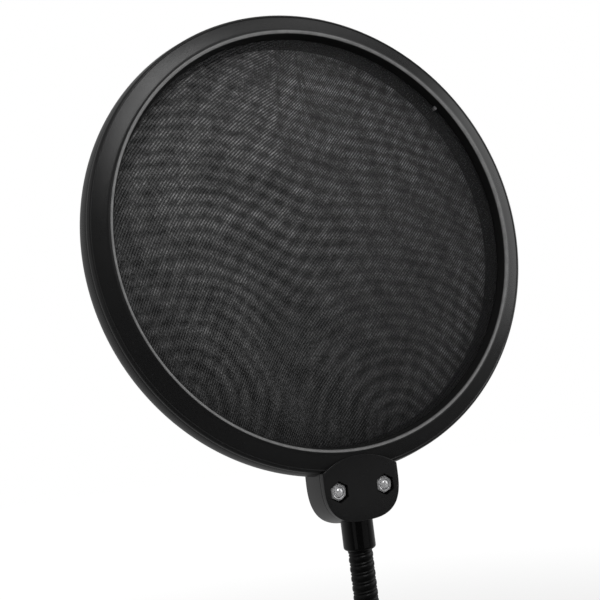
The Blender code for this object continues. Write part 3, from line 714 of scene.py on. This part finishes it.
def rear_hoop_profile():
    bead_centre = (LIP_RADIUS + BEAD_RADIUS, BEAD_RADIUS - HOOP_DEPTH)
    top = -SEAM_DEPTH - SEAM_GAP
    side = [(CREASE_RADIUS - 0.1 * MM, top), (CREASE_RADIUS, top - 0.1 * MM)]
    rise = WIDEST_RADIUS - CREASE_RADIUS
    for i in range(1, SIDE_STEPS + 1):
        depth = (SIDE_START + SIDE_LENGTH * i / SIDE_STEPS) * MM
        away = (depth - MIDDLE_DEPTH) / SIDE_HALF_LENGTH
        side.append((WIDEST_RADIUS - rise * abs(away) ** SIDE_POWER, -depth))
    corner = arc(BACK_CORNER_CENTRE, BACK_CORNER_RADIUS, 6, -75, 9)
    back = [(73.6 * MM, -14.35 * MM), (71.6 * MM, -14.75 * MM)]
    bead = arc(bead_centre, BEAD_RADIUS, -30, -180, 10)
    inside = [
        (WALL_RADIUS + 0.1 * MM, -14.0 * MM),
        (WALL_RADIUS, -REAR_SEAT_DEPTH),
        (71.0 * MM, -REAR_SEAT_DEPTH),
        (71.3 * MM, -13.2 * MM),
        (75.3 * MM, -12.4 * MM),
        (77.0 * MM, -MIDDLE_DEPTH),
        (76.1 * MM, top),
    ]
    return side + corner + back + bead + inside


def lug_outline(crown):
    """The lug's shape from the front, anticlockwise. The crown runs left to right."""
    drop = LUG_SHOULDER - LUG_BOTTOM
    right = []
    for i in range(LUG_STEPS + 1):
        angle = pi / 2 * i / LUG_STEPS
        x = LUG_HALF_WIDTH * cos(angle) ** (2 / LUG_SQUARENESS)
        right.append((x, LUG_SHOULDER - drop * sin(angle) ** (2 / LUG_SQUARENESS)))
    left = [(-x, y) for x, y in reversed(right[:-1])]
    return list(reversed(crown + right + left))


def front_lug_plate():
    half_angle = degrees(atan2(LUG_HALF_WIDTH, sqrt(LUG_CROWN_RADIUS**2 - LUG_HALF_WIDTH**2)))
    centre = (0, LUG_CROWN_HEIGHT - LUG_CROWN_RADIUS)
    crown = arc(centre, LUG_CROWN_RADIUS, 90 + half_angle, 90 - half_angle, LUG_CROWN_STEPS)
    plate = prism("front_lug_plate", lug_outline(crown), -LUG_PLATE_DEPTH, -SEAM_DEPTH)
    return bevel(plate, LUG_EDGE_ROUNDING, 3, height=-LUG_PLATE_DEPTH)


def flare(made, depth):
    """Spreads the lug's outline at that depth, outwards and below its shoulder downwards."""
    for vertex in made.data.vertices:
        if abs(vertex.co.z + depth) > SAME_HEIGHT:
            continue
        below = max(0, LUG_SHOULDER - vertex.co.y)
        vertex.co.x *= 1 + LUG_FLARE / LUG_HALF_WIDTH
        vertex.co.y -= LUG_DROOP * below / (LUG_SHOULDER - LUG_BOTTOM)
    return made


def rear_lug_block():
    half_angle = degrees(atan2(LUG_HALF_WIDTH, sqrt(LUG_TOP_RADIUS**2 - LUG_HALF_WIDTH**2)))
    crown = arc((0, 0), LUG_TOP_RADIUS, 270 - half_angle, 270 + half_angle, LUG_TOP_STEPS)
    top = -SEAM_DEPTH - SEAM_GAP
    made = prism("rear_lug_block", lug_outline(crown), top, -LUG_BACK_DEPTH)
    return bevel(flare(made, LUG_BACK_DEPTH), LUG_BACK_ROUNDING, 6, height=-LUG_BACK_DEPTH)


def arm_axis(made):
    """Puts a shape turned about the arm's axis in the head's own frame."""
    made.data.transform(Matrix.Translation((0, 0, LIP_Y)) @ Matrix.Rotation(-pi / 2, 4, "X"))
    return made


def socket_cutter():
    radius = FERRULE_RADIUS + 0.1 * MM
    below_lug = -96 * MM
    return arm_axis(rod("socket_cutter", radius, UPPER_FERRULE[1] + ROOM, below_lug, 64))


def lug_rods(radius, top, bottom, sides, turn=0):
    centres = [(side * NUT_X, NUT_HEIGHT) for side in (-1, 1)]
    return [rod("lug_rod", radius, top, bottom, sides, centre, turn) for centre in centres]


def front_hoop():
    made = turned("front_hoop_shell", front_hoop_profile(), HOOP_STEPS, True)
    bosses = lug_rods(NUT_BOSS_RADIUS, -NUT_BOSS_TOP_DEPTH, -NUT_BOSS_DEPTH, 32)
    gate = rod("gate_mark", GATE_RADIUS, GATE_TOP, GATE_BOTTOM, 20, GATE_PLACE)
    combine(made, [front_lug_plate(), *bosses, gate], "UNION")
    pocket_radius = POCKET_FLATS / 2 / cos(pi / 6)
    pockets = lug_rods(pocket_radius, 1 * MM, -POCKET_FLOOR_DEPTH, 6, 30)
    holes = lug_rods(SCREW_HOLE_RADIUS, 0, PAST_FRONT_BOSS, 24)
    combine(made, [*pockets, *holes, socket_cutter()], "DIFFERENCE")
    return finish_piece(on_head(made), HOOP_PLASTIC, "head", "front_hoop", slot="hoop_plastic")


def rear_hoop():
    made = turned("rear_hoop_shell", rear_hoop_profile(), HOOP_STEPS, True)
    combine(made, [rear_lug_block()], "UNION")
    low = (-20 * MM, -100 * MM, -SEAM_DEPTH - SEAM_GAP)
    front = block("front_cutter", low, (20 * MM, -70 * MM, 2 * MM))
    rooms = lug_rods(NUT_BOSS_RADIUS + ROOM, 0, -NUT_BOSS_DEPTH - ROOM, 32)
    holes = lug_rods(SCREW_HOLE_RADIUS, 0, PAST_BACK, 24)
    recesses = lug_rods(SCREW_RECESS_RADIUS, -SCREW_SEAT_DEPTH, PAST_BACK, 48)
    combine(made, [front, *rooms, *holes, *recesses, socket_cutter()], "DIFFERENCE")
    return finish_piece(on_head(made), HOOP_PLASTIC, "head", "rear_hoop", slot="hoop_plastic")


def spacer():
    node_low, node_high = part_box("mesh_spacer")
    top, bottom = LIP_Y - node_low.y, LIP_Y - node_high.y
    outer = node_high.x
    profile = [(WALL_RADIUS, top), (outer, top), (outer, bottom), (WALL_RADIUS, bottom)]
    made = turned("spacer_ring", profile, HOOP_STEPS // 2, True)
    return finish_piece(on_head(made), PLASTIC, "head", "mesh_spacer", slot="hoop_plastic")


def cloth(name, node, material, slack):
    """A round sheet stretched flat, with a dish as deep as its slack."""
    depth = LIP_Y - middle(node).y
    rings = 24
    radii = [MESH_RADIUS * i / rings for i in range(rings + 1)]
    profile = [(r, depth - slack * (1 - (r / MESH_RADIUS) ** 2)) for r in radii]
    made = on_head(turned(name, profile, 128))
    made.data.transform(Matrix.Translation(-HEAD_CENTRE))
    made.location = HEAD_CENTRE
    finish_piece(made, material, "head", node, slot="mesh_nylon")
    return made


def thread_profile(height, pitch, phase):
    """0 at a thread's root to 1 at its crest."""
    t = (height / pitch - phase) % 1
    return min(1.0, max(0.0, (1 - abs(2 * t - 1)) * 1.35 - 0.1))


def threaded(name, radius, depth, top, bottom, pitch, dome):
    """A threaded rod along Z, flat below and domed above."""
    around, per_turn, dome_steps = 32, 8, 5
    count = int(ceil((top - bottom) / pitch * per_turn))
    points, faces = [], []
    for i in range(count + 1):
        height = top + (bottom - top) * i / count
        fade = min(1.0, (height - bottom) / pitch, (top - height) / pitch)
        for j in range(around):
            crest = thread_profile(height, pitch, j / around)
            reach = radius - depth * (1 - crest * fade)
            angle = 2 * pi * j / around
            points.append((reach * cos(angle), reach * sin(angle), height))
    first_dome_ring = len(points)
    for i in range(1, dome_steps):
        tilt = pi / 2 * i / dome_steps
        reach = (radius - depth) * cos(tilt)
        for j in range(around):
            angle = 2 * pi * j / around
            points.append((reach * cos(angle), reach * sin(angle), top + dome * sin(tilt)))
    shaft = [i * around for i in range(count + 1)]
    rings = [0] + [first_dome_ring + i * around for i in range(dome_steps - 1)]
    pairs = list(zip(shaft, shaft[1:])) + [(high, low) for low, high in zip(rings, rings[1:])]
    for high, low in pairs:
        for j in range(around):
            k = (j + 1) % around
            faces.append([high + k, high + j, low + j, low + k])
    tip, base = len(points), len(points) + 1
    points += [(0, 0, top + dome), (0, 0, bottom)]
    faces += [[tip, rings[-1] + j, rings[-1] + (j + 1) % around] for j in range(around)]
    faces += [[base, shaft[-1] + (j + 1) % around, shaft[-1] + j] for j in range(around)]
    return add_mesh(name, points, faces, 50)


def hex_nut(name, flats, top, bottom, bore, chamfer):
    """A chamfered hexagon with a countersunk bore."""
    corner = flats / 2 / cos(pi / 6)
    face, outside = flats / 2 * NUT_FACE_SHARE, corner * 1.02
    made = rod(name, corner, top, bottom, 6, turn=30)
    profile = [
        (0, top),
        (face, top),
        (outside, top - chamfer),
        (outside, bottom + chamfer),
        (face, bottom),
        (0, bottom),
    ]
    combine(made, [turned("limits", profile, 72)], "INTERSECT", 20)
    sink = 0.12 * (flats / 2 - bore)
    past = 1 * MM
    profile = [
        (0, top + past),
        (bore + sink + past, top + past),
        (bore + sink, top),
        (bore, top - sink),
        (bore, bottom - past),
        (0, bottom - past),
    ]
    combine(made, [turned("hole", profile, 48)], "DIFFERENCE", 20)
    return bevel(made, 0.06 * MM, 2, 25, sharp=30)


def lug_fasteners(side):
    name = "left" if side < 0 else "right"
    at_screw = Matrix.Translation((side * NUT_X, NUT_HEIGHT, 0))
    turn = Matrix.Rotation(radians(NUT_TURN[name]), 4, "Z")

    nut_bottom, bore = -NUT_DEPTH - NUT_THICKNESS, SCREW_RADIUS + NUT_BORE_GAP
    nut = hex_nut(f"nut_{name}", NUT_FLATS, -NUT_DEPTH, nut_bottom, bore, NUT_CHAMFER)
    nut.data.transform(at_screw @ turn)
    finish_piece(on_head(nut), ZINC, "head", f"lug_nut_{name}", slot="zinc_steel")

    seat = -SCREW_SEAT_DEPTH - ROOM
    rod_top, rod_bottom = -SCREW_END_DEPTH - SCREW_DOME, seat - 0.2 * MM
    size = (SCREW_RADIUS, SCREW_THREAD_DEPTH, rod_top, rod_bottom, SCREW_PITCH, SCREW_DOME)
    screw = threaded(f"screw_{name}", *size)
    head = turned(
        "screw_head",
        [
            (0, seat),
            (2.65 * MM, seat),
            (2.75 * MM, seat - 0.15 * MM),
            (2.75 * MM, seat - 0.7 * MM),
            *arc((1.4 * MM, seat - 0.45 * MM), 1.35 * MM, -12, -85, 8),
            (0, seat - 1.82 * MM),
        ],
        48,
    )
    slots = []
    slot_half_length, slot_half_width = 1.6 * MM, 0.3 * MM
    low, high = seat - 3 * MM, seat - 0.8 * MM
    for reach in ((slot_half_length, slot_half_width), (slot_half_width, slot_half_length)):
        slots.append(block("slot", (-reach[0], -reach[1], low), (reach[0], reach[1], high)))
    combine(head, slots, "DIFFERENCE")
    combine(screw, [head], "UNION", 40)
    screw.data.transform(at_screw)
    finish_piece(on_head(screw), ZINC, "head", f"lug_screw_{name}", slot="zinc_steel")


# Arm


def ferrule_profile(top, bottom, bore, closed_end):
    """A sleeve open at the bottom, where the arm goes in, with a rounded rim."""
    rounded = FERRULE_RADIUS - FERRULE_SHOULDER
    return [
        (0, top),
        (rounded, top),
        *arc((rounded, top - FERRULE_SHOULDER), FERRULE_SHOULDER, 80, 0, 4),
        *arc((FERRULE_RADIUS - FERRULE_RIM, bottom + FERRULE_RIM), FERRULE_RIM, 0, -80, 8),
        (bore + 0.1 * MM, bottom),
        (bore, bottom + 0.2 * MM),
        (bore, closed_end),
        (0, closed_end),
    ]


def upper_ferrule():
    bottom, top = UPPER_FERRULE
    profile = ferrule_profile(top, bottom, FERRULE_BORE, bottom + 10 * MM)
    made = lift(turned("upper_ferrule_sleeve", profile, 96), HEAD_Z)
    return finish_piece(made, COATING, "head", "upper_ferrule", slot="black_metal")


def lower_ferrule():
    bore, rounded = FERRULE_BORE, FERRULE_RADIUS - FERRULE_SHOULDER
    bottom, top = LOWER_FERRULE
    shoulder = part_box("ferrule_lock_nut")[1].z + ROOM
    inner_end = ARM_BOTTOM - 10.3 * MM
    profile = [
        (0, inner_end),
        (bore, inner_end),
        (bore, top - 0.2 * MM),
        (bore + 0.1 * MM, top),
        *arc((FERRULE_RADIUS - FERRULE_RIM, top - FERRULE_RIM), FERRULE_RIM, 80, 0, 8),
        *arc((rounded, shoulder + FERRULE_SHOULDER), FERRULE_SHOULDER, 0, -80, 4),
        (rounded, shoulder),
        (FERRULE_SPIGOT, shoulder),
        (FERRULE_SPIGOT, bottom),
        (0, bottom),
    ]
    made = turned("lower_ferrule_sleeve", profile, 96)
    return finish_piece(made, COATING, "clamp", "lower_ferrule", slot="black_metal")


def rib_height(height, share):
    """The arm's winding, climbing to the right: a round wire, then a thin triangular one."""
    t = (height / RIB_PITCH - share) % 1
    if t < ROUND_WIRE:
        return (1 - (2 * t / ROUND_WIRE - 1) ** 2) ** 0.5
    return TRIANGLE_HEIGHT * (1 - abs(2 * (t - ROUND_WIRE) / (1 - ROUND_WIRE) - 1))


def arm_skin(name, low, high):
    """A stretch of the ribbed arm, closed at both ends. It meets its neighbours end to end."""
    around = ARM_SIDES
    count = int(ceil((high - low) / RIB_PITCH * RIB_STEPS))
    points, faces = [], []
    for i in range(count + 1):
        height = low + (high - low) * i / count
        for j in range(around):
            reach = ARM_RADIUS - RIB_HEIGHT * (1 - rib_height(height, j / around))
            angle = 2 * pi * j / around
            points.append((reach * cos(angle), reach * sin(angle), height))
    for i in range(count):
        for j in range(around):
            k = (j + 1) % around
            faces.append([i * around + j, i * around + k, (i + 1) * around + k, (i + 1) * around + j])
    points += [(0, 0, low), (0, 0, high)]
    base, tip, ring = len(points) - 2, len(points) - 1, count * around
    faces += [[base, (j + 1) % around, j] for j in range(around)]
    faces += [[tip, ring + j, ring + (j + 1) % around] for j in range(around)]
    return add_mesh(name, points, faces, 70)


def gooseneck():
    """The flexible arm: a stretch round each joint, and an end in each ferrule."""
    heights = [j["pos_m"][2] for j in ARM_JOINTS]
    step = heights[1] - heights[0]
    bodies = [ARM_JOINTS[0]["parent"]] + [j["child"] for j in ARM_JOINTS]
    for number, (height, joint) in enumerate(zip(heights, ARM_JOINTS), 1):
        low, high = height - step / 2, height + step / 2
        skin = arm_skin(f"gooseneck_bend_{number}", low, high)
        skin.data.materials.append(ARM_COATING)
        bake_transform(skin)
        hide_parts(f"gooseneck_{number}")
    bottom = arm_skin("gooseneck_foot", ARM_BOTTOM - ARM_STUB, heights[0] - step / 2)
    finish_piece(bottom, ARM_COATING, bodies[0], "gooseneck_1", slot="black_metal")
    top = arm_skin("gooseneck_neck", heights[-1] + step / 2, ARM_TOP + ARM_STUB)
    finish_piece(top, ARM_COATING, bodies[-1], f"gooseneck_{len(bodies)}", slot="black_metal")


# Clamp: the CAD nodes keep their shape and get their finish


def clamp():
    for node, material in (
        ("clamp_frame", FRAME_COATING),
        ("ferrule_lock_nut", ZINC),
        ("thread_bush", BRASS),
        ("jaw_pad_fixed", RUBBER),
        ("jaw_pad_moving", RUBBER),
        ("swivel_plate", ZINC),
        ("swivel_clip", ZINC),
        ("clamp_screw", ZINC),
        ("clamp_knob", KNOB_PLASTIC),
    ):
        node_object = frame["nodes"][node]
        node_object.data.materials.clear()
        node_object.data.materials.append(material)


# Studio

SENSOR_WIDTH = 36
FOCAL_LENGTH = 43.62
EYE = HEAD_CENTRE + Vector((-104.8, -209.3, -52.6)) * MM
AIM = HEAD_CENTRE + Vector((-13.95, 0, -21.8)) * MM
ROLL = radians(6.81)

DOME_RADIUS = 12
FLOOR_RADIUS = 6
FLOOR_THICKNESS = 0.01
FLOOR_FADE = (0.3, 2.6)  # where the paper starts and ends its fade to pure white
PAPER = (0.86, 0.86, 0.85)
LIGHT_DISTANCE = 1.2

BACKGROUND_LEAN = (0.2, 0.9, 0.4)  # towards the pale side


def camera():
    data = bpy.data.cameras.new("camera")
    data.sensor_width = SENSOR_WIDTH
    data.lens = FOCAL_LENGTH
    made = bpy.data.objects.new("camera", data)
    bpy.context.scene.collection.objects.link(made)
    look = (AIM - EYE).normalized()
    level_right = look.cross(Vector((0, 0, 1))).normalized()
    level_up = level_right.cross(look)
    up = level_up * cos(ROLL) + level_right * sin(ROLL)
    right = look.cross(up)
    made.matrix_world = Matrix.Translation(EYE) @ Matrix((right, up, -look)).transposed().to_4x4()
    data.clip_start = 0.01
    bpy.context.scene.camera = made


def emitter(name, strength):
    material = bpy.data.materials.new(name)
    material.use_nodes = True
    tree = material.node_tree
    tree.nodes.clear()
    glow = tree.nodes.new("ShaderNodeEmission")
    glow.inputs["Strength"].default_value = strength
    output = tree.nodes.new("ShaderNodeOutputMaterial")
    tree.links.new(glow.outputs[0], output.inputs["Surface"])
    return material


def surroundings():
    """A white surround that only the camera sees, and a pale floor under the clamp."""
    bow = arc((0, 0), DOME_RADIUS, 85, -85, 24)
    dome = turned("surround", [(0, DOME_RADIUS), *bow, (0, -DOME_RADIUS)], 48)
    dome.data.materials.append(emitter("surround_white", 1.0))
    for ray in ("diffuse", "glossy", "transmission", "volume_scatter", "shadow"):
        setattr(dome, f"visible_{ray}", False)

    top = CAD_BOX[0][2] - 30 * MM
    bottom = top - FLOOR_THICKNESS
    floor = turned("floor", [(0, top), (FLOOR_RADIUS, top), (FLOOR_RADIUS, bottom), (0, bottom)], 96)
    floor.visible_glossy = False
    paint = Look("floor_paper", PAPER, 0.8, Emission_Strength=1.0)
    length = paint.node("ShaderNodeVectorMath", {0: paint.place()}, operation="LENGTH")
    inputs = {0: length.outputs["Value"], 1: FLOOR_FADE[0], 2: FLOOR_FADE[1]}
    fade = paint.node("ShaderNodeMapRange", inputs, interpolation_type="SMOOTHSTEP").outputs[0]
    paint.link(paint.mix_colour(fade, (*PAPER, 1), (0, 0, 0, 1)), "Base Color")
    paint.link(paint.mix_colour(fade, (0.3, 0.3, 0.3, 1), (1, 1, 1, 1)), "Emission Color")
    paint.bump(paint.noise(300, detail=3, roughness=0.6), strength=0.05, distance=0.5 * MM)
    floor.data.materials.append(paint.material)


def softbox(name, azimuth, elevation, size, radiance):
    """A rectangular light that faces the head. Azimuth 0 is in front, 90 to the viewer's right."""
    turn, rise = radians(azimuth), radians(elevation)
    away = Vector((sin(turn) * cos(rise), -cos(turn) * cos(rise), sin(rise)))
    data = bpy.data.lights.new(name, "AREA")
    data.shape = "RECTANGLE"
    data.size, data.size_y = size
    data.energy = 4 * radiance * size[0] * size[1]
    made = bpy.data.objects.new(name, data)
    bpy.context.scene.collection.objects.link(made)
    made.location = HEAD_CENTRE + away * LIGHT_DISTANCE
    made.rotation_euler = away.to_track_quat("Z", "Y").to_euler()
    made.visible_camera = False


def world():
    """Pale behind the object and darker in front of it and below."""
    made = bpy.data.worlds.new("studio")
    bpy.context.scene.world = made
    made.use_nodes = True
    tree = made.node_tree
    back = tree.nodes["Background"]
    back.inputs["Color"].default_value = (1, 1, 1, 1)
    place = tree.nodes.new("ShaderNodeTexCoord")
    lean = tree.nodes.new("ShaderNodeVectorMath")
    lean.operation = "DOT_PRODUCT"
    lean.inputs[1].default_value = Vector(BACKGROUND_LEAN).normalized()
    tree.links.new(place.outputs["Generated"], lean.inputs[0])
    ramp = tree.nodes.new("ShaderNodeMapRange")
    ramp.interpolation_type = "SMOOTHSTEP"
    limits = {"From Min": -0.75, "From Max": 0.55, "To Min": 0.04, "To Max": 0.38}
    for key, value in limits.items():
        ramp.inputs[key].default_value = value
    tree.links.new(lean.outputs["Value"], ramp.inputs["Value"])
    tree.links.new(ramp.outputs[0], back.inputs["Strength"])


def lights():
    softbox("key", azimuth=-8, elevation=41, size=(0.5, 0.5), radiance=3.1)
    softbox("side", azimuth=78, elevation=15, size=(1.2, 0.9), radiance=0.82)
    softbox("top", azimuth=38, elevation=54, size=(0.5, 0.35), radiance=0.5)
    softbox("fill", azimuth=-74, elevation=14, size=(0.6, 0.9), radiance=0.3)
    softbox("strip", azimuth=-50, elevation=6, size=(0.46, 1.5), radiance=0.11)
    softbox("low", azimuth=28, elevation=-14, size=(0.9, 0.5), radiance=0.09)
    softbox("back", azimuth=140, elevation=42, size=(0.8, 0.6), radiance=1.6)


bpy.context.scene.view_settings.view_transform = "Standard"
camera()
surroundings()
world()
lights()
front_hoop()
rear_hoop()
spacer()
cloth("front_nylon_sheet", "front_mesh", FRONT_NYLON, MESH_SLACK)
cloth("rear_nylon_sheet", "rear_mesh", REAR_NYLON, -MESH_SLACK)
for side in (-1, 1):
    lug_fasteners(side)
upper_ferrule()
gooseneck()
lower_ferrule()
clamp()
